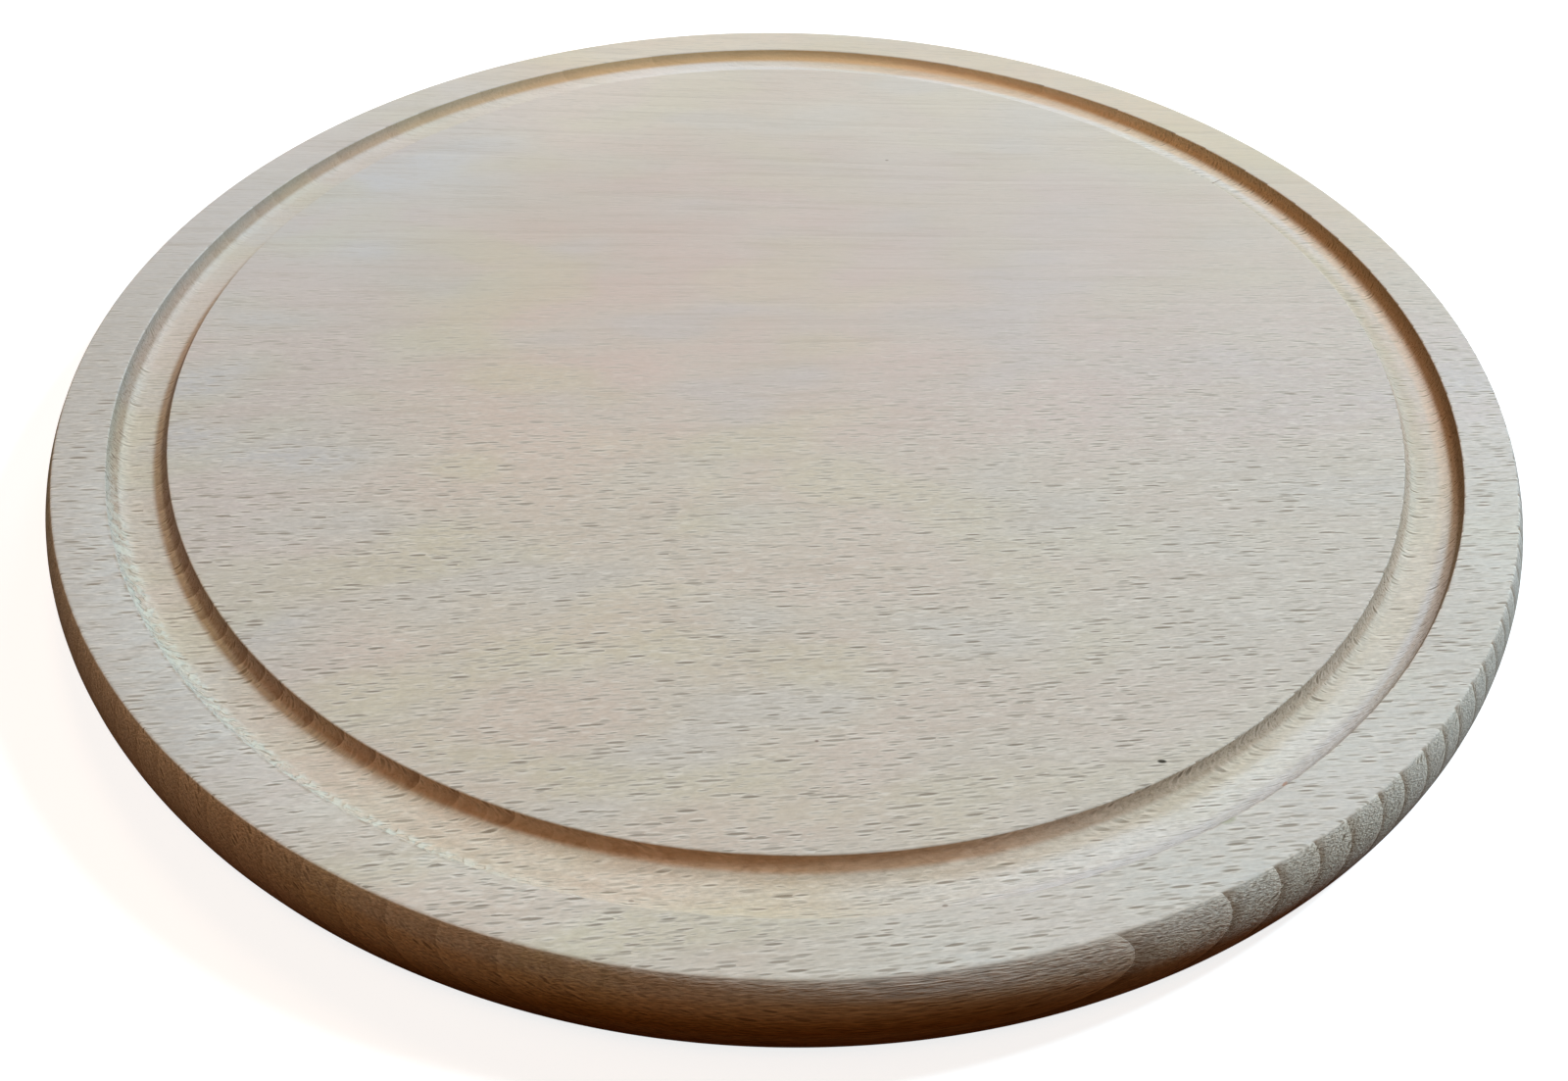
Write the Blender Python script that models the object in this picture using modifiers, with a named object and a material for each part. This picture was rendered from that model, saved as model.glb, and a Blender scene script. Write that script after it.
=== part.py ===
"""Round beech cutting board with a juice groove.

The board is one plank, sawn round, with its edge and its groove cut to a profile, so the
model is a single solid of revolution about +Z. Frame: metres, +Z up out of the cutting
face, +X along the grain, origin at the centre of the underside.
"""

import math

import bpy

# Board, in metres
BOARD_DIAMETER = 0.250
THICKNESS = 0.0165
EDGE_BELLY = 0.0025     # how far the rounded edge swells past the rims of the two faces
EDGE_EASE = 0.0005      # sanded radius where the edge meets either face

# Juice groove, run with a bowl cutter: flat bottom, round corners
GROOVE_CENTRE_DIAMETER = 0.219
GROOVE_DEPTH = 0.0026
GROOVE_FLAT = 0.0030    # width of the flat along the bottom
CORNER_RADIUS = 0.0032
LIP_EASE = 0.00025      # sanded radius on both lips of the groove

# Facets
TURN_STEPS = 96
CORNER_STEPS = 6
BELLY_STEPS = 8
EASE_STEPS = 2
MERGE_DISTANCE = 0.00005
SMOOTH_ANGLE = math.radians(30)

# Finish: bare sanded beech
BEECH_COLOUR = (0.60, 0.50, 0.40, 1.0)
BEECH_ROUGHNESS = 0.65

DOWN = -math.pi / 2
UP = math.pi / 2


def clear_scene():
    for item in list(bpy.data.objects):
        bpy.data.objects.remove(item, do_unlink=True)


def make_collection(name):
    collection = bpy.data.collections.new(name)
    bpy.context.scene.collection.children.link(collection)
    return collection


def make_beech():
    material = bpy.data.materials.new("beech")
    material.use_nodes = True
    shader = material.node_tree.nodes["Principled BSDF"]
    shader.inputs["Base Color"].default_value = BEECH_COLOUR
    shader.inputs["Roughness"].default_value = BEECH_ROUGHNESS
    shader.inputs["Metallic"].default_value = 0.0
    material.diffuse_color = BEECH_COLOUR
    return material


def arc(centre, radius, start, end, steps):
    """Points (radius from the axis, height) along an arc, both ends included."""
    points = []
    for step in range(steps + 1):
        angle = start + (end - start) * step / steps
        x = centre[0] + radius * math.cos(angle)
        z = centre[1] + radius * math.sin(angle)
        points.append((x, z))
    return points


def groove_points():
    """Inner lip, the groove's two rounded corners and outer lip, from the axis outwards."""
    inner_x = (GROOVE_CENTRE_DIAMETER - GROOVE_FLAT) / 2
    outer_x = (GROOVE_CENTRE_DIAMETER + GROOVE_FLAT) / 2
    cutter_height = THICKNESS - GROOVE_DEPTH + CORNER_RADIUS
    lip_height = THICKNESS - LIP_EASE
    # A lip's arc touches the cutting face and its corner's circle from outside it.
    rise = cutter_height - lip_height
    reach = math.sqrt((CORNER_RADIUS + LIP_EASE) ** 2 - rise ** 2)
    lean = math.atan2(rise, reach)
    inner_lip = arc((inner_x - reach, lip_height), LIP_EASE, UP, lean, EASE_STEPS)
    inner_corner = arc((inner_x, cutter_height), CORNER_RADIUS, lean - math.pi, DOWN, CORNER_STEPS)
    outer_corner = arc((outer_x, cutter_height), CORNER_RADIUS, DOWN, -lean, CORNER_STEPS)
    outer_lip = arc((outer_x + reach, lip_height), LIP_EASE, math.pi - lean, UP, EASE_STEPS)
    # Each lip ends on its corner's first or last point.
    return inner_lip[:-1] + inner_corner + outer_corner + outer_lip[1:]


def edge_points():
    """Rounded edge from the cutting face down to the underside."""
    half = THICKNESS / 2
    # The belly is the circle through the two face rims and the widest point between them.
    belly_radius = (half ** 2 + EDGE_BELLY ** 2) / (2 * EDGE_BELLY)
    belly_centre = BOARD_DIAMETER / 2 - belly_radius
    # A sanded corner touches a face and lies inside the belly's circle, touching it.
    rise = half - EDGE_EASE
    reach = math.sqrt((belly_radius - EDGE_EASE) ** 2 - rise ** 2)
    lean = math.atan2(rise, reach)
    ease_x = belly_centre + reach
    top = arc((ease_x, THICKNESS - EDGE_EASE), EDGE_EASE, UP, lean, EASE_STEPS)
    belly = arc((belly_centre, half), belly_radius, lean, -lean, BELLY_STEPS)
    bottom = arc((ease_x, EDGE_EASE), EDGE_EASE, -lean, DOWN, EASE_STEPS)
    return top[:-1] + belly + bottom[1:]


def board_profile():
    """Half section from the axis on top, over the groove and the edge, to the axis below."""
    return [(0.0, THICKNESS)] + groove_points() + edge_points() + [(0.0, 0.0)]


def make_turned(name, profile, collection, material):
    """A body of revolution: the half section at +X, swept once round Z."""
    mesh = bpy.data.meshes.new(name)
    points = [(x, 0.0, z) for x, z in profile]
    edges = [(index, index + 1) for index in range(len(points) - 1)]
    mesh.from_pydata(points, edges, [])
    mesh.materials.append(material)
    turned = bpy.data.objects.new(name, mesh)
    collection.objects.link(turned)
    sweep = turned.modifiers.new("turn", "SCREW")
    sweep.axis = "Z"
    sweep.angle = 2 * math.pi
    sweep.screw_offset = 0.0
    sweep.steps = TURN_STEPS
    sweep.render_steps = TURN_STEPS
    sweep.use_merge_vertices = True
    sweep.merge_threshold = MERGE_DISTANCE
    sweep.use_smooth_shade = True
    return turned


def settle_shape(turned):
    """Keep the swept surface as the object's own mesh, smooth but crisp at the lips."""
    graph = bpy.context.evaluated_depsgraph_get()
    swept = bpy.data.meshes.new_from_object(turned.evaluated_get(graph))
    profile_mesh = turned.data
    turned.modifiers.clear()
    turned.data = swept
    bpy.data.meshes.remove(profile_mesh)
    swept.name = turned.name
    swept.shade_smooth()
    swept.set_sharp_from_angle(angle=SMOOTH_ANGLE)


def main():
    clear_scene()
    collection = make_collection("round_cutting_board")
    board = make_turned("board", board_profile(), collection, make_beech())
    settle_shape(board)


main()
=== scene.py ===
import math

import bpy
from mathutils import Matrix, Vector


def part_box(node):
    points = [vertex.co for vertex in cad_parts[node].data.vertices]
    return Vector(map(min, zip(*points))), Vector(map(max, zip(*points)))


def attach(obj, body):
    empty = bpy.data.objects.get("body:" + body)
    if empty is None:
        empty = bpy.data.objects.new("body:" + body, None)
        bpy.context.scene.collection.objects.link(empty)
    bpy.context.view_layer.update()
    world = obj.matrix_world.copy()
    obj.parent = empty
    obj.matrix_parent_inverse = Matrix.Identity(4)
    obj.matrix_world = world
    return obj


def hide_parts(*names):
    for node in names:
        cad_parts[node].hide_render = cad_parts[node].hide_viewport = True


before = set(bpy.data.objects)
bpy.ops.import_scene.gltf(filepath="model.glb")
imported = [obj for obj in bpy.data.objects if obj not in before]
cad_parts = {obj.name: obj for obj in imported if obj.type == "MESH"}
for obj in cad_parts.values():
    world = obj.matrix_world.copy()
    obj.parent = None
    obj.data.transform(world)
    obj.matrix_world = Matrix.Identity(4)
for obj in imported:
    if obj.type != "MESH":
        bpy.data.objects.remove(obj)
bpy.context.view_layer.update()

# The photo's camera, worked out from the board's rims. Sizes in metres, angles in degrees.
cameraView = {
    "back": 0.2196,        # in front of the board's middle, along -Y
    "above": 0.1670,       # over the cutting face
    "lookDown": 44.09,
    "roll": 1.34,
    "lens": 35.73,         # mm, as is the sensor's width
    "sensor": 36,
    "near": 0.01,          # nothing closer than this is drawn
}

# Half section of the board: distances from the axis, heights from the underside
boardSizes = {
    "belly": 0.0025,           # how far the edge swells past the two faces
    "edgeEase": 0.0005,
    "cornerRadius": 0.0032,    # of the bowl cutter that sinks the groove
    "grooveDepth": 0.0026,
    "grooveCentre": 0.1095,
    "grooveFlat": 0.0015,      # half the flat along the groove's bottom
    "lipEase": 0.00025,
    "turns": 1440,             # facets round the board, then along each arc
    "lipSteps": 3,
    "cornerSteps": 8,
    "easeSteps": 4,
    "bellySteps": 12,
    "flatMargin": 0.0001,      # narrow flat ring that keeps the shading flat beside a lip
    "faceRing": 0.1000,
    "smoothAngle": 40,         # degrees; anything sharper stays crisp
}

# Torn and slightly wavy wood, as real relief in the mesh. Each pair says where it fades in or out,
# in metres off the groove's middle line or in degrees round the board.
boardRelief = {
    "waveSize": 0.0120,
    "waveHeight": 0.00010,
    "waveOut": (0.0040, 0.0050),
    "tearSize": 0.0009,
    "tearHeight": 0.00045,
    "tornIn": (188, 208),
    "tornOut": (248, 272),
    "lipIn": (0.0018, 0.0034),
    "lipOut": (0.0046, 0.0054),
    "detail": 2,
    "leastWeight": 0.01,
}


def arcPoints(centre, radius, start, end, steps):
    points = []
    for step in range(steps + 1):
        angle = start + (end - start) * step / steps
        points.append((centre[0] + radius * math.cos(angle), centre[1] + radius * math.sin(angle)))
    return points


def boardSection(outside, top):
    # from the face ring outwards, over the groove, the rim and the rounded edge, to the underside
    s = boardSizes
    middle, flat, corner = s["grooveCentre"], s["grooveFlat"], s["cornerRadius"]
    cutterHeight = top - s["grooveDepth"] + corner
    lipHeight = top - s["lipEase"]
    rise = cutterHeight - lipHeight
    reach = math.sqrt((corner + s["lipEase"]) ** 2 - rise ** 2)
    lean = math.atan2(rise, reach)
    quarter = math.pi / 2
    innerLip = arcPoints((middle - flat - reach, lipHeight), s["lipEase"], quarter, lean, s["lipSteps"])
    innerCorner = arcPoints(
        (middle - flat, cutterHeight), corner, math.pi + lean, 3 * quarter, s["cornerSteps"])
    outerCorner = arcPoints(
        (middle + flat, cutterHeight), corner, 3 * quarter, 4 * quarter - lean, s["cornerSteps"])
    outerLip = arcPoints(
        (middle + flat + reach, lipHeight), s["lipEase"], math.pi - lean, quarter, s["lipSteps"])

    half = top / 2
    bellyRadius = (half ** 2 + s["belly"] ** 2) / (2 * s["belly"])
    bellyCentre = outside - bellyRadius
    rise = half - s["edgeEase"]
    reach = math.sqrt((bellyRadius - s["edgeEase"]) ** 2 - rise ** 2)
    lean = math.atan2(rise, reach)
    brow = bellyCentre + reach
    topEase = arcPoints((brow, top - s["edgeEase"]), s["edgeEase"], quarter, lean, s["easeSteps"])
    belly = arcPoints((bellyCentre, half), bellyRadius, lean, -lean, s["bellySteps"])
    bottomEase = arcPoints((brow, s["edgeEase"]), s["edgeEase"], -lean, -quarter, s["easeSteps"])

    margin = s["flatMargin"]
    section = [(innerLip[0][0] - margin, top)]
    section += innerLip[:-1] + innerCorner + outerCorner + outerLip[1:]
    section += [(outerLip[-1][0] + margin, top), (brow - margin, top)]
    section += topEase[:-1] + belly + bottomEase[1:]
    section += [(brow - margin, 0.0)]
    return section


def deselectAll():
    bpy.ops.object.select_all(action="DESELECT")


def selectOpenEdge():
    bpy.ops.mesh.select_all(action="DESELECT")
    bpy.ops.mesh.select_mode(type="EDGE")
    bpy.ops.mesh.select_non_manifold(extend=False)


def turnBoard(low, high):
    # a flat disc, then its rim drawn out ring by ring along the section, as on a lathe
    top = high.z
    outside = (high.x - low.x) / 2
    section = boardSection(outside, top)
    deselectAll()
    bpy.ops.mesh.primitive_circle_add(
        vertices=boardSizes["turns"], radius=boardSizes["faceRing"], fill_type="TRIFAN",
        location=(0, 0, top))
    board = bpy.context.object
    board.name = "turnedBoard"
    board.data.name = "turnedBoard"
    bpy.ops.object.transform_apply(location=True, rotation=True, scale=True)
    bpy.ops.object.mode_set(mode="EDIT")
    selectOpenEdge()
    radius, height = boardSizes["faceRing"], top
    for nextRadius, nextHeight in section:
        stretch = nextRadius / radius
        bpy.ops.mesh.extrude_edges_move(TRANSFORM_OT_translate={"value": (0, 0, nextHeight - height)})
        bpy.ops.transform.resize(value=(stretch, stretch, 1), center_override=(0, 0, nextHeight))
        radius, height = nextRadius, nextHeight
    # close the underside with one more ring and a fan
    stretch = boardSizes["faceRing"] / radius
    bpy.ops.mesh.extrude_edges_move(TRANSFORM_OT_translate={"value": (0, 0, 0)})
    bpy.ops.transform.resize(value=(stretch, stretch, 1), center_override=(0, 0, 0))
    bpy.ops.mesh.extrude_edges_move(TRANSFORM_OT_translate={"value": (0, 0, 0)})
    bpy.ops.mesh.merge(type="CENTER")
    bpy.ops.mesh.select_all(action="SELECT")
    bpy.ops.mesh.normals_make_consistent(inside=False)
    bpy.ops.object.mode_set(mode="OBJECT")
    print("board turned:", len(board.data.polygons), "faces")
    return board


def smoothStep(low, high, value):
    t = min(max((value - low) / (high - low), 0.0), 1.0)
    return t * t * (3 - 2 * t)


def addWeights(board, name, weigh):
    group = board.vertex_groups.new(name=name)
    for vertex in board.data.vertices:
        weight = weigh(vertex.co)
        if weight > boardRelief["leastWeight"]:
            group.add([vertex.index], weight, "REPLACE")


def addRelief(board, name, size, height, weigh):
    addWeights(board, name, weigh)
    texture = bpy.data.textures.new(name, "CLOUDS")
    texture.noise_scale = size
    texture.noise_depth = boardRelief["detail"]
    press = board.modifiers.new(name, "DISPLACE")
    press.texture = texture
    press.texture_coords = "LOCAL"
    press.vertex_group = name
    press.strength = height
    press.mid_level = 1.0          # cuts inwards only, so the board never outgrows its size
    deselectAll()
    board.select_set(True)
    bpy.context.view_layer.objects.active = board
    bpy.ops.object.modifier_apply(modifier=name)


def roughenBoard(board, top):
    r = boardRelief
    s = boardSizes

    def grooveWeight(co):
        offset = abs(math.hypot(co.x, co.y) - s["grooveCentre"])
        inside = 1 - smoothStep(*r["waveOut"], offset)
        return inside if co.z > top / 2 else 0.0

    def tornWeight(co):
        offset = math.hypot(co.x, co.y) - s["grooveCentre"]
        turn = math.degrees(math.atan2(co.y, co.x)) % 360
        along = smoothStep(*r["tornIn"], turn) * (1 - smoothStep(*r["tornOut"], turn))
        across = smoothStep(*r["lipIn"], offset) * (1 - smoothStep(*r["lipOut"], offset))
        return along * across if co.z > top / 2 else 0.0

    addRelief(board, "cutterWaver", r["waveSize"], r["waveHeight"], grooveWeight)
    addRelief(board, "tornGrain", r["tearSize"], r["tearHeight"], tornWeight)
    board.vertex_groups.clear()
    print("groove relief pressed in")


def addNode(tree, kind, settings=None, **inputs):
    node = tree.nodes.new("ShaderNode" + kind)
    for key, value in (settings or {}).items():
        setattr(node, key, value)
    for key, value in inputs.items():
        socket = node.inputs[key.replace("_", " ")]
        if isinstance(value, bpy.types.NodeSocket):
            tree.links.new(value, socket)
        else:
            socket.default_value = value
    return node


def calc(tree, operation, *values):
    node = tree.nodes.new("ShaderNodeMath")
    node.operation = operation
    for socket, value in zip(node.inputs, values):
        if isinstance(value, bpy.types.NodeSocket):
            tree.links.new(value, socket)
        else:
            socket.default_value = value
    return node.outputs[0]


def fade(tree, value, start, end, startValue=0.0, endValue=1.0):
    node = addNode(tree, "MapRange", {"interpolation_type": "SMOOTHSTEP"}, Value=value)
    limits = {"From Min": start, "From Max": end, "To Min": startValue, "To Max": endValue}
    for name, number in limits.items():
        node.inputs[name].default_value = number
    return node.outputs["Result"]


def stretched(tree, x, y, z, sizes):
    # the three coordinates in units of the feature's own size
    parts = [calc(tree, "DIVIDE", value, size) for value, size in zip((x, y, z), sizes)]
    return addNode(tree, "CombineXYZ", X=parts[0], Y=parts[1], Z=parts[2]).outputs[0]


def noiseOf(tree, vector, detail=2.0, roughness=0.5):
    node = addNode(tree, "TexNoise", {"noise_dimensions": "3D"}, Vector=vector)
    node.inputs["Scale"].default_value = 1.0
    node.inputs["Detail"].default_value = detail
    node.inputs["Roughness"].default_value = roughness
    return node.outputs[0]


def blend(tree, amount, first, second, mode="MIX"):
    node = tree.nodes.new("ShaderNodeMix")
    node.data_type = "RGBA"
    node.blend_type = mode
    # sockets 0, 6 and 7 take the amount and the two colours, and output 2 is the mixed colour
    for index, value in ((0, amount), (6, first), (7, second)):
        socket = node.inputs[index]
        if isinstance(value, bpy.types.NodeSocket):
            tree.links.new(value, socket)
        else:
            socket.default_value = value
    return node.outputs[2]


def product(tree, first, *others):
    for value in others:
        first = calc(tree, "MULTIPLY", first, value)
    return first


def heading(tree, x, y, degrees):
    # distance along a direction counted from +X
    turn = math.radians(degrees)
    return calc(tree, "MULTIPLY_ADD", x, math.cos(turn), calc(tree, "MULTIPLY", y, math.sin(turn)))


# Beech: lengths in mm, colours linear, directions in degrees from +X
mmPerMetre = 1000
beechLook = {
    "base": (0.640, 0.562, 0.472, 1),
    "roughness": (0.67, 0.83),
    "sheen": 0.05,             # bare dry wood hardly shines
    "slope": 0.056,            # the grain climbs to the right, more so near the front
    "slopeChange": -0.00073,
    "wander": 3.2,
    "wanderSize": (75, 60, 60),
    "soft": (-68, 18),         # away from the front the grain shows more and more faintly
    "softest": 0.20,
    "softSkew": (0.45, -0.25),
    "tornColour": (0.690, 0.680, 0.580, 1),
    "tornShow": 0.70,
    "bumpStrength": 0.8,
}

growthRings = {
    "slant": -0.37,            # rings lean off upright, their feet nearer the front
    "shift": 10.6,
    "rate": 0.190,             # rings per mm at the middle
    "crowding": -0.0004,
    "unevenSize": (900, 9, 900),
    "uneven": 1.1,
    "darkTo": 0.42,            # share of a year that starts dark
    "darkPower": 1.6,
    "lightFrom": (0.82, 0.99),
    "patchSize": (28, 5, 12),  # they show on the face in patches, less so near the front
    "patchFade": (0.35, 0.65),
    "frontFade": (-70, 30, 0.25, 1.0),
    "edgeFade": (-70, 20, 0.30, 1.0),      # more faintly on the left of the edge
    "endFade": (0.05, 0.42),
    "wall": 0.05,              # on the groove's walls mostly at the left front
    "wallFront": (-60, 0, 0.70, 0.0),
    "wallLeft": (0, -40),
    "wallInner": (-1.0, -2.0),
    "lightShow": (0.10, 0.75),             # on the face and on the edge
    "darkShow": (0.07, 0.85),
}

# Ray plates: cell, half size of a plate and of the pale halo round it; along, across, through
rayPlates = {
    "cell": (4.2, 0.56, 1.8),
    "plate": (1.80, 0.190, 0.80),
    "plateFade": (0.55, 1.10),
    "halo": (2.10, 0.560, 1.15),
    "haloFade": (0.45, 1.00),
    "sets": ((0.0, 1.0, 1.0), (31.7, 1.0, 1.0), (57.3, 0.62, 0.65)),   # shift, size, strength
    "scatter": 0.85,
    "growth": (0.70, 0.40),    # how far the size varies, and the least of it
    "strength": (0.65, 0.22),
    "ownFace": (1.20, 1.38),   # a plate cut along its own face is a pale fleck
    "ownFaceShow": 0.15,
}

# Noises in the grain: size along, across and through it, detail, roughness
grainNoises = {
    "fibres": ((3.6, 0.24, 0.24), 4, 0.6),
    "threads": ((22, 0.7, 0.7), 3, 0.6),
    "specks": ((1.0, 0.32, 0.32), 2, 0.6),
    "coarse": ((3.4, 0.30, 0.30), 2, 0.6),
    "fuzz": ((1.1, 0.60, 0.60), 3, 0.6),
    "blotch": ((26, 13, 13), 3, 0.55),
    "pinkness": ((30, 15, 15), 1, 0.5),
}
creamShift = 400
poreSize = (0.50, 0.30, 0.30)
poreShow = (0.55, 0.35)        # they show more in the groove

# Where the masks are 0 and where they are 1: mm, or slopes as sines
maskFades = {
    "upperSide": (8.0, 10.0),
    "below": (0.04, 0.24),
    "inGroove": (4.9, 4.7),
    "steep": (0.42, 0.66),
    "onRim": (113.8, 114.6),
    "onEdge": (122.3, 123.0),
    "endGrain": (0.10, 0.75),
    "turnedBack": (0.50, 0.10),
    "shaded": (0.42, 0.80),
    "innerRight": (15, 60),
    "outerTop": (1.7, 0.5),
    "outerHalf": (-0.5, 0.5),
    "grooveClear": (50, 90, 0.0, 0.90),
    "sheen": (0.10, 0.90),
}

# Directions from the board's middle: how nearly a point lies that way, 1 straight on
bearings = {"toRight": 0, "toBackRight": 34.8, "toFront": 257, "toFrontRight": 300, "toRightFront": 310}
backLeftward = 140.3
leftEndPower = 5.0             # narrows the left end to some 20 degrees either way

# Layers of colour, laid on in turn: how it mixes, its colour, and where it shows. Each place is a
# product of named masks, plain shares, and fades: a coordinate, where it is 0, where it is 1,
# and, if they aren't 0 and 1, the two values.
groundLayers = {
    "pinkPatches": ("MIX", (0.665, 0.535, 0.452, 1), (("pinkness", 0.40, 0.62, 0.0, 0.60),)),
    "greyPatches": ("MIX", (0.612, 0.570, 0.524, 1), (("pinkness", 0.46, 0.30, 0.0, 0.60),)),
    "creamPatches": ("MIX", (0.640, 0.572, 0.424, 1), (("creaminess", 0.48, 0.66, 0.0, 0.60),)),
    "greyRight": ("MIX", (0.612, 0.570, 0.524, 1), (("x", -40, 100, 0.0, 0.65),)),
    "greyBack": ("MIX", (0.612, 0.570, 0.524, 1), (("y", -10, 90, 0.0, 0.45), ("x", 20, 80, 1.0, 0.1))),
    "rim": ("MULTIPLY", (1.010, 1.038, 1.055, 1), ("onRim", ("y", 90, 40))),
    "rimBack": ("MULTIPLY", (1.035, 1.000, 0.940, 1), ("onRim", ("y", 10, 50))),
    "backLeft": ("MULTIPLY", (1.060, 1.080, 1.100, 1), (("backLeft", 60, 95),)),
    "backRight": ("MULTIPLY", (1.000, 1.000, 0.945, 1), (("x", 50, 85), ("y", 0, 30))),
    "rimFront": ("MULTIPLY", (1.040, 1.070, 1.095, 1), ("onRim", ("y", -60, -95), ("x", -10, 30))),
    "rimRight": ("MULTIPLY", (1.040, 1.055, 1.065, 1),
                 ("onRim", ("y", -70, -50), ("y", 5, -15), ("x", 95, 112))),
    "leftSide": ("MULTIPLY", (0.945, 0.990, 1.080, 1), (("x", -45, -85),)),
    # painted sheen: the face lighter towards the far side
    "farSide": ("MULTIPLY", (1.085, 1.060, 1.040, 1), (("y", 45, 95),)),
    "middle": ("MULTIPLY", (1.005, 0.965, 1.000, 1), (("y", -35, -10), ("y", 85, 45), ("x", -70, -30))),
    "rimLeft": ("MIX", (0.592, 0.553, 0.512, 1), ("onRim", ("y", 90, 40), ("x", -50, -100))),
    "rimLeftBack": ("MULTIPLY", (1.085, 1.090, 1.120, 1), ("onRim", ("y", 5, 35), ("x", -80, -110))),
}

grainLayers = {
    "threads": ("MIX", (0.420, 0.335, 0.245, 1), (("threads", 0.50, 0.70, 0.0, 0.20),)),
    "darkFibres": ("MIX", (0.420, 0.335, 0.245, 1),
                   (("fibres", 0.48, 0.74), ("radius", 122.3, 123.0, 0.34, 0.58), "clear")),
    "paleFibres": ("MIX", (0.790, 0.735, 0.665, 1),
                   (("fibres", 0.46, 0.26), ("radius", 122.3, 123.0, 0.40, 0.65), "clear")),
    "edgeRingEnds": ("MIX", (0.880, 0.825, 0.745, 1), ("ringEnds", "lightShow")),
    "edgeRingStarts": ("MIX", (0.300, 0.215, 0.150, 1), ("ringStarts", "darkShow")),
    "pores": ("MIX", (0.170, 0.110, 0.070, 1), (("pores", 0.52, 0.72), "endGrain", "poreShow", "clear")),
    "rayHalos": ("MIX", (0.880, 0.820, 0.745, 1), ("halos", 0.70, "clear")),
    "rays": ("MIX", (0.195, 0.150, 0.100, 1), ("rays", 0.92, "clear")),
}

# The groove's colours multiply the wood's: painted shade, browner and warmer on the walls that turn from
# the window and on the floor in their shadow, darkest on end grain, which is partly the end grain's own
# darker tone
grooveShadeTints = {
    "floor": (1.00, 0.98, 0.93, 1),
    "innerSide": (0.92, 0.65, 0.47, 1),
    "innerEnd": (0.47, 0.42, 0.41, 1),
    "innerRight": (0.86, 0.75, 0.66, 1),
    "outerSide": (1.00, 0.74, 0.46, 1),
    "outerEnd": (0.68, 0.58, 0.50, 1),
    # painted warm shade at the back right, where the window's shadow falls on the outer wall
    "farSide": (1.32, 0.99, 0.67, 1),
    "farEnd": (0.61, 0.42, 0.25, 1),
    "outerTop": (0.93, 1.01, 1.07, 1),
}

floorLayers = {
    "back": ("MIX", (1.08, 1.12, 1.20, 1), (("y", 0, 80), ("x", -80, -20))),
    # painted warm shade on the floor inside the outer wall's shadow at the back right
    "far": ("MIX", (1.08, 0.97, 0.86, 1), (("offset", 0.7, 1.9), ("toBackRight", 0.42, 0.80))),
    "right": ("MIX", (0.91, 0.89, 0.80, 1), (("offset", 0.5, -1.5), ("x", 70, 95), ("y", -50, -10))),
    "frontRight": ("MIX", (1.10, 1.14, 1.19, 1),
                   (("toFrontRight", 0.88, 0.99), ("offset", -2.2, 0.0), ("offset", 2.8, 1.6))),
    "frontLip": ("MIX", (0.98, 1.03, 1.13, 1), (("toRightFront", 0.80, 0.95), ("offset", 1.4, 2.8))),
    "front": ("MULTIPLY", (1.07, 1.09, 1.11, 1),
              (("toFront", 0.90, 0.98), ("offset", -2.2, -1.0), ("offset", 1.4, 0.0))),
}

# Under the outer lip at the right, a painted shadow: a dark wedge that deepens towards the back
lipShadowDepth = {"along": (-88, -25), "depth": (0.25, 1.7)}
lipShadowLayers = {
    "rightLipShadow": ("MULTIPLY", (0.46, 0.38, 0.29, 1),
                 (("wedge", 1.10, 0.65), ("y", -88, -78), ("offset", 0.0, 1.0), ("y", -38, 8, 1.0, 0.25),
                  ("y", 60, 5), ("x", 60, 85))),
}

# The edge's colours multiply the wood's too: a warm painted shade, lighter and cooler where the window
# light falls, painted cool light along the upper edge at the front, and painted shade lower down at the
# front and back
edgeShadeTint = (1.22, 1.00, 0.74, 1)
edgeLayers = {
    # lighter and cooler where the window light falls, in place of the warm painted shade
    "right": ("MIX", (1.30, 1.22, 1.10, 1), (("toRight", 0.08, 0.45),)),
    "left": ("MIX", (1.35, 1.18, 1.02, 1), (("toRight", -0.35, -0.70),)),
    "endGrain": ("MIX", (0.90, 0.86, 0.88, 1), ("acrossGrain", "acrossGrain")),
    "leftEnd": ("MIX", (0.42, 0.46, 0.32, 1), ("leftEnd", ("x", -20, -60))),
    # painted shade: darker and browner on the lower half of the edge, front and back
    "low": ("MULTIPLY", (0.80, 0.68, 0.45, 1),
            (("z", 11.0, 7.0), ("acrossGrain", 0.30, 0.05), ("z", 2.0, 5.0))),
    # painted shade: darker and browner in a band across the edge's middle, front and back
    "edgeBandShade": ("MULTIPLY", (0.78, 0.62, 0.40, 1),
             (("z", 12.6, 9.8), ("z", 6.0, 8.0), ("acrossGrain", 0.11, 0.03))),
    # painted cool light along the upper edge at the front
    "brow": ("MULTIPLY", (1.00, 1.20, 1.62, 1),
             (("z", 12.2, 14.2), ("acrossGrain", 0.35, 0.10), ("x", 5, 45, 1.0, 0.15), ("y", -20, -60))),
}

# How far each noise swings the colour lighter and darker, and how high each thing stands in mm.
# The names after the first are masks.
shadeSwings = {
    ("blotch",): 0.10,
    ("specks", "clear"): 0.40,
    ("coarse", "onEdge"): 1.50,
    ("fuzz", "inGroove", "clear"): 0.40,
    ("year", "ringShow"): 0.20,
}
woodHeights = {
    ("rays",): -0.030,
    ("fibres",): -0.025,
    ("ringStarts", "ringShow"): -0.030,
    ("pores", "endGrain"): 0.05,
    ("coarse", "onEdge"): 0.22,
    ("fuzz", "inGroove"): 0.10,
    ("bites",): 0.30,
    ("raggedLip",): 0.10,
}

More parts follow.
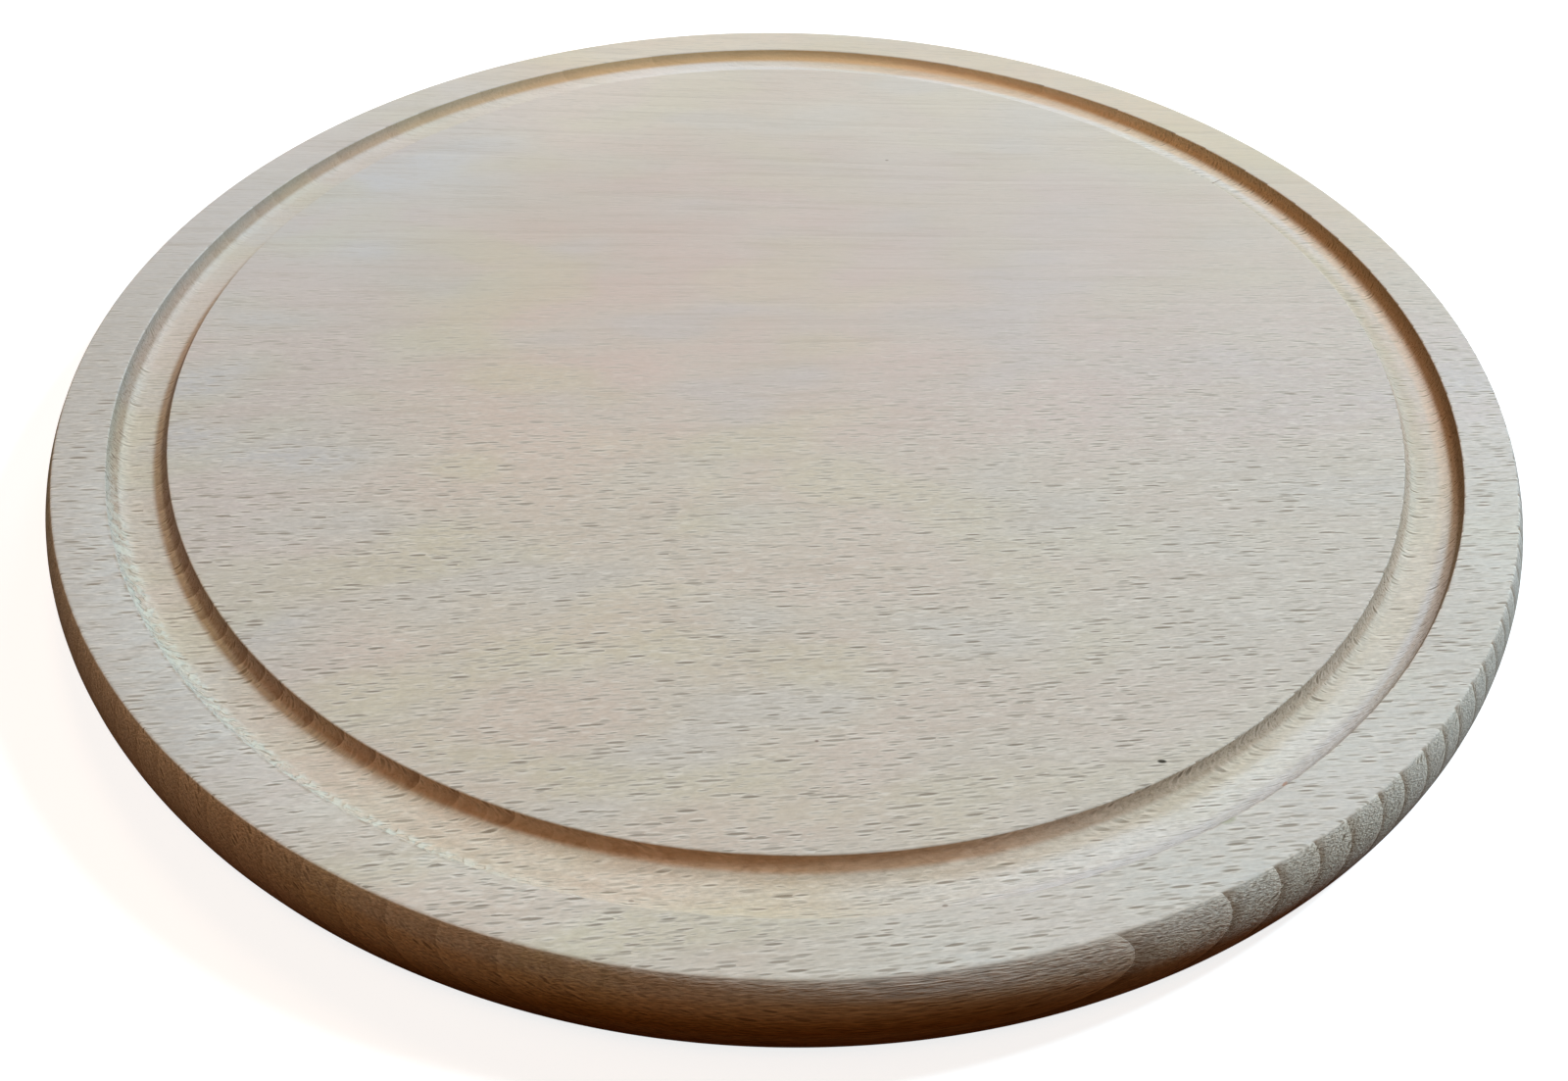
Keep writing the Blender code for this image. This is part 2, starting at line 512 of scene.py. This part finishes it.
# Little whitish bites of torn end grain along part of the groove's outer lip
tornLip = {
    "from": (-166, -150),
    "to": (-98, -118),
    "offset": 4.2,             # from the groove's middle line, mm
    "round": 114,              # about the lip's radius, to turn degrees into lengths along it
    "inner": (-2.0, -0.9),
    "outer": (1.1, 0.4),
    "spacing": 3.1,
    "raggedSize": (1.4, 1.4, 1.4),
    "unevenSize": (6.0, 6.0, 6.0),
    "slant": 0.30,
    "ragged": 1.7,
    "uneven": 3.0,
    "bite": (0.12, 0.40),
    "worn": (0.30, 0.55, 0.45, 1.0),
}

# Small marks, in mm: place, half sizes along and across, turn in degrees
boardMarks = {
    "pinKnot": {"at": (51.8, -88.4), "size": (0.70, 0.33), "turn": 0, "strength": 0.95,
                "colour": (0.034, 0.028, 0.020, 1)},
    "knotTail": {"at": (47.6, -88.5), "size": (3.4, 0.16), "turn": 2, "strength": 0.40,
                 "colour": (0.200, 0.170, 0.140, 1)},
    "speck": {"at": (5.1, -86.3), "size": (0.30, 0.22), "turn": 0, "strength": 0.60,
              "colour": (0.150, 0.080, 0.050, 1)},
    "farSpeck": {"at": (19.4, 66.4), "size": (0.40, 0.30), "turn": 0, "strength": 0.50,
                 "colour": (0.180, 0.120, 0.080, 1)},
    "grooveSpeck": {"at": (21.4, -110.3), "size": (0.45, 0.28), "turn": 10, "strength": 0.55,
                    "colour": (0.120, 0.070, 0.045, 1)},
    "secondSpeck": {"at": (-18.2, -110.6), "size": (0.42, 0.22), "turn": 0, "strength": 0.50,
                    "colour": (0.140, 0.085, 0.055, 1)},
    "greenSpot": {"at": (59.0, -97.6), "size": (1.30, 0.75), "turn": 30, "strength": 0.42,
                  "colour": (0.270, 0.300, 0.150, 1)},
    "resinMark": {"at": (68.3, -90.6), "size": (0.85, 0.30), "turn": 60, "strength": 0.55,
                  "colour": (0.520, 0.230, 0.110, 1)},
    "hairline": {"at": (87.6, 65.3), "size": (2.30, 0.16), "turn": 36.7, "strength": 0.70,
                 "colour": (0.240, 0.170, 0.120, 1)},
}
markFade = (0.25, 1.3)
markDepth = (3.0, 2.8)


def maskOf(tree, place, where):
    parts = []
    for part in where:
        if isinstance(part, str):
            part = place[part]
        elif isinstance(part, tuple):
            part = fade(tree, place[part[0]], *part[1:])
        parts.append(part)
    return product(tree, *parts)


def layOn(tree, place, colour, layers):
    for mode, tint, where in layers.values():
        colour = blend(tree, maskOf(tree, place, where), colour, tint, mode)
    return colour


def boardPlace(tree, top):
    # where a point is on the board, in mm, with masks for its rim, groove, edge and end grain
    coordinates = addNode(tree, "TexCoord")
    millimetres = addNode(tree, "VectorMath", {"operation": "SCALE"}, Vector=coordinates.outputs["Object"])
    millimetres.inputs["Scale"].default_value = mmPerMetre
    m = maskFades
    x, y, z = addNode(tree, "SeparateXYZ", Vector=millimetres.outputs[0]).outputs
    normalX, normalY, normalZ = addNode(tree, "SeparateXYZ", Vector=coordinates.outputs["Normal"]).outputs
    radius = calc(tree, "SQRT", calc(tree, "ADD", product(tree, x, x), product(tree, y, y)))
    offset = calc(tree, "SUBTRACT", radius, boardSizes["grooveCentre"] * mmPerMetre)
    depth = calc(tree, "SUBTRACT", top * mmPerMetre, z)
    upperSide = fade(tree, z, *m["upperSide"])
    below = product(tree, fade(tree, depth, *m["below"]), upperSide)
    flatness = calc(tree, "SUBTRACT", 1.0, product(tree, normalZ, normalZ))
    lean = calc(tree, "SQRT", calc(tree, "MAXIMUM", flatness, 0.0))
    place = {
        "x": x, "y": y, "z": z, "radius": radius, "offset": offset, "depth": depth,
        "normalX": calc(tree, "ABSOLUTE", normalX), "normalY": normalY, "normalZ": normalZ,
        "upperSide": upperSide,
        "inGroove": product(tree, fade(tree, calc(tree, "ABSOLUTE", offset), *m["inGroove"]), below),
        "steep": product(tree, fade(tree, lean, *m["steep"]), below),
        "onRim": product(tree, fade(tree, radius, *m["onRim"]), upperSide),
        "onEdge": fade(tree, radius, *m["onEdge"]),
        "backLeft": heading(tree, x, y, backLeftward),
        "wedge": calc(tree, "DIVIDE", depth, fade(tree, y, *lipShadowDepth["along"], *lipShadowDepth["depth"])),
    }
    for name, degrees in bearings.items():
        place[name] = calc(tree, "DIVIDE", heading(tree, x, y, degrees), radius)
    place["acrossGrain"] = calc(tree, "POWER", place["toRight"], 2.0)
    place["leftEnd"] = calc(tree, "POWER", place["acrossGrain"], leftEndPower)
    place["endGrain"] = fade(tree, place["normalX"], *m["endGrain"])
    return place


def grainSpace(tree, x, y, z):
    # from ring to ring, across the wavy, climbing fibres
    b = beechLook
    slope = calc(tree, "MULTIPLY_ADD", y, b["slopeChange"], b["slope"])
    wander = noiseOf(tree, stretched(tree, x, y, z, b["wanderSize"]), detail=1.0)
    drift = product(tree, calc(tree, "SUBTRACT", wander, 0.5), b["wander"])
    return calc(tree, "ADD", calc(tree, "SUBTRACT", y, product(tree, slope, x)), drift)


def addRings(tree, place, across):
    # years grow towards +Y: each ends in a light line, and the next one starts dark
    r = growthRings
    x, y, z = place["x"], place["y"], place["z"]
    leaning = calc(tree, "ADD", calc(tree, "MULTIPLY_ADD", z, r["slant"], across), r["shift"])
    rate = calc(tree, "MULTIPLY_ADD", leaning, r["crowding"], r["rate"])
    uneven = noiseOf(tree, stretched(tree, x, leaning, z, r["unevenSize"]), detail=1.0)
    years = calc(tree, "MULTIPLY_ADD", leaning, rate, product(tree, uneven, r["uneven"]))
    year = calc(tree, "FRACT", years)
    place["year"] = year
    place["ringStarts"] = calc(tree, "POWER", fade(tree, year, r["darkTo"], 0.0), r["darkPower"])
    place["ringEnds"] = fade(tree, year, *r["lightFrom"])

    patchy = noiseOf(tree, stretched(tree, x, leaning, z, r["patchSize"]), detail=1.0)
    faceShow = product(tree, fade(tree, patchy, *r["patchFade"]), fade(tree, y, *r["frontFade"]))
    leftFront = product(tree, fade(tree, y, *r["wallFront"]), fade(tree, x, *r["wallLeft"]))
    innerWall = fade(tree, place["offset"], *r["wallInner"])
    wallShow = calc(tree, "MULTIPLY_ADD", leftFront, innerWall, r["wall"])
    edgeShow = fade(tree, x, *r["edgeFade"])
    wallShow = product(tree, place["inGroove"], calc(tree, "SUBTRACT", wallShow, edgeShow))
    ringShow = calc(tree, "ADD", edgeShow, wallShow)
    ringShow = product(tree, ringShow, fade(tree, place["normalX"], *r["endFade"]))
    place["ringShow"] = ringShow
    for name in ("lightShow", "darkShow"):
        onFace, onEdge = r[name]
        place[name] = calc(tree, "ADD", product(tree, faceShow, onFace), product(tree, ringShow, onEdge))


def addRays(tree, place, across):
    # short dark plates along the grain, leaning half way between face and edge, each in a Voronoi cell
    r = rayPlates
    diagonal = math.sqrt(0.5)
    sideways = product(tree, calc(tree, "SUBTRACT", across, place["z"]), diagonal)
    outward = product(tree, calc(tree, "ADD", across, place["z"]), diagonal)
    rays, halos = 0.0, 0.0
    for shift, part, weight in r["sets"]:
        sizes = [size * part for size in r["cell"]]
        vector = stretched(tree, calc(tree, "ADD", place["x"], shift), sideways, outward, sizes)
        cells = addNode(tree, "TexVoronoi", {"voronoi_dimensions": "3D", "feature": "F1"}, Vector=vector)
        cells.inputs["Scale"].default_value = 1.0
        cells.inputs["Randomness"].default_value = r["scatter"]
        offset = addNode(tree, "VectorMath", {"operation": "SUBTRACT"})
        tree.links.new(vector, offset.inputs[0])
        tree.links.new(cells.outputs["Position"], offset.inputs[1])
        chance = addNode(tree, "SeparateColor", Color=cells.outputs["Color"])
        grown = calc(tree, "MULTIPLY_ADD", chance.outputs[0], *r["growth"])
        strengths = [value * weight for value in r["strength"]]
        strength = calc(tree, "MULTIPLY_ADD", chance.outputs[1], *strengths)
        spots = []
        for name in ("plate", "halo"):
            scaled = addNode(tree, "VectorMath", {"operation": "MULTIPLY"}, Vector=offset.outputs[0])
            scaled.inputs[1].default_value = [size / half for size, half in zip(r["cell"], r[name])]
            reach = addNode(tree, "VectorMath", {"operation": "LENGTH"}, Vector=scaled.outputs[0])
            far = calc(tree, "DIVIDE", reach.outputs["Value"], grown)
            spots.append(product(tree, fade(tree, far, *r[name + "Fade"], 1.0, 0.0), strength))
        rays = calc(tree, "MAXIMUM", rays, spots[0])
        halos = calc(tree, "MAXIMUM", halos, spots[1])
    facing = calc(tree, "ABSOLUTE", calc(tree, "SUBTRACT", place["normalY"], place["normalZ"]))
    place["rays"] = product(tree, rays, fade(tree, facing, *r["ownFace"], 1.0, r["ownFaceShow"]))
    place["halos"] = halos


def addGrain(tree, place):
    b = beechLook
    x, y, z = place["x"], place["y"], place["z"]
    across = grainSpace(tree, x, y, z)
    for name, (sizes, detail, roughness) in grainNoises.items():
        place[name] = noiseOf(tree, stretched(tree, x, across, z, sizes), detail, roughness)
    shifted = stretched(tree, calc(tree, "ADD", x, creamShift), across, z, grainNoises["pinkness"][0])
    place["creaminess"] = noiseOf(tree, shifted, detail=1.0)
    place["pores"] = noiseOf(tree, stretched(tree, x, y, z, poreSize), roughness=0.6)
    place["poreShow"] = calc(tree, "MULTIPLY_ADD", place["inGroove"], *poreShow)
    sideways = calc(tree, "MAXIMUM", *[product(tree, x, skew) for skew in b["softSkew"]])
    clear = fade(tree, calc(tree, "SUBTRACT", y, sideways), *b["soft"], 1.0, b["softest"])
    grooveClear = product(tree, place["inGroove"], fade(tree, x, *maskFades["grooveClear"]))
    place["clear"] = calc(tree, "MAXIMUM", clear, grooveClear)
    addRings(tree, place, across)
    addRays(tree, place, across)


def addTornLip(tree, place):
    t = tornLip
    x, y, z = place["x"], place["y"], place["z"]
    lip = boardSizes["grooveCentre"] * mmPerMetre + t["offset"]
    turn = product(tree, calc(tree, "ARCTAN2", y, x), 180 / math.pi)
    offset = calc(tree, "SUBTRACT", place["radius"], lip)
    ragged = noiseOf(tree, stretched(tree, x, y, z, t["raggedSize"]))
    uneven = noiseOf(tree, stretched(tree, x, y, z, t["unevenSize"]), detail=1.0)
    lengthwise = product(tree, turn, math.radians(1) * t["round"] / t["spacing"])
    comma = calc(tree, "MULTIPLY_ADD", offset, t["slant"],
                 calc(tree, "MULTIPLY_ADD", ragged, t["ragged"], lengthwise))
    comma = calc(tree, "MULTIPLY_ADD", uneven, t["uneven"], comma)
    beat = calc(tree, "ABSOLUTE", calc(tree, "SUBTRACT", calc(tree, "FRACT", comma), 0.5))
    stretch = product(tree, fade(tree, turn, *t["from"]), fade(tree, turn, *t["to"]))
    band = product(tree, fade(tree, offset, *t["inner"]), fade(tree, offset, *t["outer"]))
    where = product(tree, stretch, band, place["upperSide"])
    kept = product(tree, fade(tree, beat, *t["bite"]), fade(tree, ragged, *t["worn"]))
    place["bites"] = product(tree, where, kept)
    place["raggedLip"] = product(tree, where, ragged)


def markSpot(tree, place, mark):
    # how strongly a mark shows here, 1 in its middle
    dx = calc(tree, "SUBTRACT", place["x"], mark["at"][0])
    dy = calc(tree, "SUBTRACT", place["y"], mark["at"][1])
    reach = 0.0
    for size, turn in zip(mark["size"], (mark["turn"], mark["turn"] + 90)):
        part = calc(tree, "DIVIDE", heading(tree, dx, dy, turn), size)
        reach = calc(tree, "ADD", calc(tree, "POWER", part, 2.0), reach)
    return fade(tree, reach, *markFade, mark["strength"], 0.0)


# Painted shade on the groove's walls and floor, mixed with the end grain's own darker tone
def grooveShadeColour(tree, place):
    g, m = grooveShadeTints, maskFades
    shaded = fade(tree, place["toBackRight"], *m["shaded"])
    inner = blend(tree, place["acrossGrain"], g["innerSide"], g["innerEnd"])
    inner = blend(tree, fade(tree, place["x"], *m["innerRight"]), inner, g["innerRight"])
    outerSide = blend(tree, shaded, g["outerSide"], g["farSide"])
    outerEnd = blend(tree, shaded, g["outerEnd"], g["farEnd"])
    outer = blend(tree, place["acrossGrain"], outerSide, outerEnd)
    outer = blend(tree, fade(tree, place["depth"], *m["outerTop"]), outer, g["outerTop"], "MULTIPLY")
    wall = blend(tree, fade(tree, place["offset"], *m["outerHalf"]), inner, outer)
    turnedBack = fade(tree, place["normalY"], *m["turnedBack"])
    tint = layOn(tree, place, g["floor"], floorLayers)
    tint = blend(tree, product(tree, place["steep"], turnedBack), tint, wall)
    return layOn(tree, place, tint, lipShadowLayers)


def woodColour(tree, place):
    b = beechLook
    colour = layOn(tree, place, b["base"], groundLayers)
    shade = 1.0
    for (noise, *masks), amount in shadeSwings.items():
        swing = calc(tree, "SUBTRACT", place[noise], 0.5)
        swing = product(tree, swing, amount, *[place[mask] for mask in masks])
        shade = product(tree, calc(tree, "ADD", swing, 1.0), shade)
    grey = addNode(tree, "CombineColor", Red=shade, Green=shade, Blue=shade)
    colour = blend(tree, 1.0, colour, grey.outputs[0], "MULTIPLY")
    colour = layOn(tree, place, colour, grainLayers)
    colour = blend(tree, place["inGroove"], colour, grooveShadeColour(tree, place), "MULTIPLY")
    colour = blend(tree, place["onEdge"], colour, layOn(tree, place, edgeShadeTint, edgeLayers), "MULTIPLY")
    colour = blend(tree, product(tree, place["bites"], b["tornShow"]), colour, b["tornColour"])
    onTop = fade(tree, place["depth"], *markDepth)
    for mark in boardMarks.values():
        colour = blend(tree, product(tree, markSpot(tree, place, mark), onTop), colour, mark["colour"])
    return colour


def makeBeech(top):
    b = beechLook
    material = bpy.data.materials.new("bareBeech")
    material.use_nodes = True
    tree = material.node_tree
    shader = tree.nodes["Principled BSDF"]
    place = boardPlace(tree, top)
    addGrain(tree, place)
    addTornLip(tree, place)
    tree.links.new(woodColour(tree, place), shader.inputs["Base Color"])
    smoothest, roughest = b["roughness"]
    roughness = calc(tree, "MULTIPLY_ADD", place["fibres"], roughest - smoothest, smoothest)
    tree.links.new(roughness, shader.inputs["Roughness"])
    sheen = fade(tree, place["normalZ"], *maskFades["sheen"], 0.0, b["sheen"])
    tree.links.new(sheen, shader.inputs["Specular IOR Level"])
    height = 0.0
    for names, amount in woodHeights.items():
        height = calc(tree, "MULTIPLY_ADD", product(tree, *[place[name] for name in names]), amount, height)
    bump = addNode(tree, "Bump", Height=height)
    bump.inputs["Strength"].default_value = b["bumpStrength"]
    bump.inputs["Distance"].default_value = 1 / mmPerMetre
    tree.links.new(bump.outputs[0], shader.inputs["Normal"])
    return material


# Plain floor: white to the camera with the board's shadow on it, a brown table top to the light
floorLook = {
    "size": 8.0,
    "drop": 0.0001,
    "white": 0.50,
    "glow": 0.83,
    "glowFade": (0.35, 1.2),   # rises to 1 with distance, so that the far edge doesn't show
    "tableTop": (0.095, 0.028, 0.010, 1),
}

# A tall cool window on the right, and weaker light from behind, above and the left, mostly warm.
# Metres, degrees, watts; size is width and height.
roomColour = (0.006, 0.003, 0.0015, 1)
studioLights = {
    "window": {"turn": 20, "lift": 46.5, "away": 1.3, "size": (0.16, 0.22), "power": 13.7,
               "colour": (0.735, 1.0, 1.17)},
    "farWindow": {"turn": 80, "lift": 35, "away": 1.3, "size": (0.32, 0.32), "power": 1.92,
                  "colour": (0.635, 1.0, 1.354)},
    "farLamp": {"turn": 100, "lift": 60, "away": 1.3, "size": (0.32, 0.32), "power": 2.45,
                "colour": (1.42, 1.0, 0.66)},
    "ceiling": {"turn": 265, "lift": 70, "away": 1.3, "size": (0.46, 0.46), "power": 1.45,
                "colour": (1.58, 1.0, 0.58)},
    "leftWall": {"turn": 180, "lift": 55, "away": 1.3, "size": (0.70, 0.70), "power": 1.15,
                 "colour": (1.50, 1.0, 0.59)},
}


def whiteForCamera(tree):
    path = addNode(tree, "LightPath")
    seen = calc(tree, "MAXIMUM", path.outputs["Is Camera Ray"], path.outputs["Is Glossy Ray"])
    return calc(tree, "MAXIMUM", seen, path.outputs["Is Transmission Ray"])


def makeFloor():
    deselectAll()
    bpy.ops.mesh.primitive_plane_add(size=floorLook["size"], location=(0, 0, -floorLook["drop"]))
    floor = bpy.context.object
    floor.name = "floor"
    material = bpy.data.materials.new("palePaper")
    material.use_nodes = True
    tree = material.node_tree
    tree.nodes.remove(tree.nodes["Principled BSDF"])
    white = floorLook["white"]
    paper = addNode(tree, "BsdfDiffuse", Color=(white, white, white, 1))
    coordinates = addNode(tree, "TexCoord")
    away = addNode(tree, "VectorMath", {"operation": "LENGTH"}, Vector=coordinates.outputs["Object"])
    strength = fade(tree, away.outputs["Value"], *floorLook["glowFade"], floorLook["glow"], 1.0)
    glow = addNode(tree, "Emission", Color=(1, 1, 1, 1), Strength=strength)
    bright = addNode(tree, "AddShader")
    tree.links.new(paper.outputs[0], bright.inputs[0])
    tree.links.new(glow.outputs[0], bright.inputs[1])
    table = addNode(tree, "BsdfDiffuse", Color=floorLook["tableTop"])
    choice = addNode(tree, "MixShader", Fac=whiteForCamera(tree))
    tree.links.new(table.outputs[0], choice.inputs[1])
    tree.links.new(bright.outputs[0], choice.inputs[2])
    tree.links.new(choice.outputs[0], tree.nodes["Material Output"].inputs["Surface"])
    floor.data.materials.append(material)


def makeLamp(name, lamp):
    turn, lift = math.radians(lamp["turn"]), math.radians(lamp["lift"])
    direction = Vector((math.cos(turn) * math.cos(lift), math.sin(turn) * math.cos(lift), math.sin(lift)))
    light = bpy.data.lights.new(name, "AREA")
    light.shape = "ELLIPSE"
    light.size, light.size_y = lamp["size"]
    light.energy = lamp["power"]
    light.color = lamp["colour"]
    holder = bpy.data.objects.new(name, light)
    holder.location = direction * lamp["away"]
    holder.rotation_euler = direction.to_track_quat("Z", "Y").to_euler()
    bpy.context.scene.collection.objects.link(holder)


def makeLights():
    for name, lamp in studioLights.items():
        makeLamp(name, lamp)
    world = bpy.data.worlds.new("room")
    bpy.context.scene.world = world
    world.use_nodes = True
    tree = world.node_tree
    room = tree.nodes["Background"]
    room.inputs["Color"].default_value = roomColour
    backdrop = addNode(tree, "Background", Color=(1, 1, 1, 1))
    choice = addNode(tree, "MixShader", Fac=whiteForCamera(tree))
    tree.links.new(room.outputs[0], choice.inputs[1])
    tree.links.new(backdrop.outputs[0], choice.inputs[2])
    tree.links.new(choice.outputs[0], tree.nodes["World Output"].inputs["Surface"])


def makeCamera(top):
    v = cameraView
    data = bpy.data.cameras.new("camera")
    data.lens = v["lens"]
    data.sensor_width = v["sensor"]
    data.clip_start = v["near"]
    camera = bpy.data.objects.new("camera", data)
    tilt = Matrix.Rotation(math.radians(90 - v["lookDown"]), 4, "X")
    roll = Matrix.Rotation(math.radians(v["roll"]), 4, "Z")
    camera.matrix_world = Matrix.Translation((0, -v["back"], top + v["above"])) @ tilt @ roll
    bpy.context.scene.collection.objects.link(camera)
    bpy.context.scene.camera = camera


low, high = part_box("board")
makeCamera(high.z)
board = turnBoard(low, high)
roughenBoard(board, high.z)
board.data.materials.append(makeBeech(high.z))
deselectAll()
board.select_set(True)
bpy.context.view_layer.objects.active = board
bpy.ops.object.shade_smooth_by_angle(angle=math.radians(boardSizes["smoothAngle"]))
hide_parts("board")
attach(board, "root")
makeFloor()
makeLights()
bpy.context.scene.view_settings.view_transform = "Standard"
print("lights, floor and camera set")
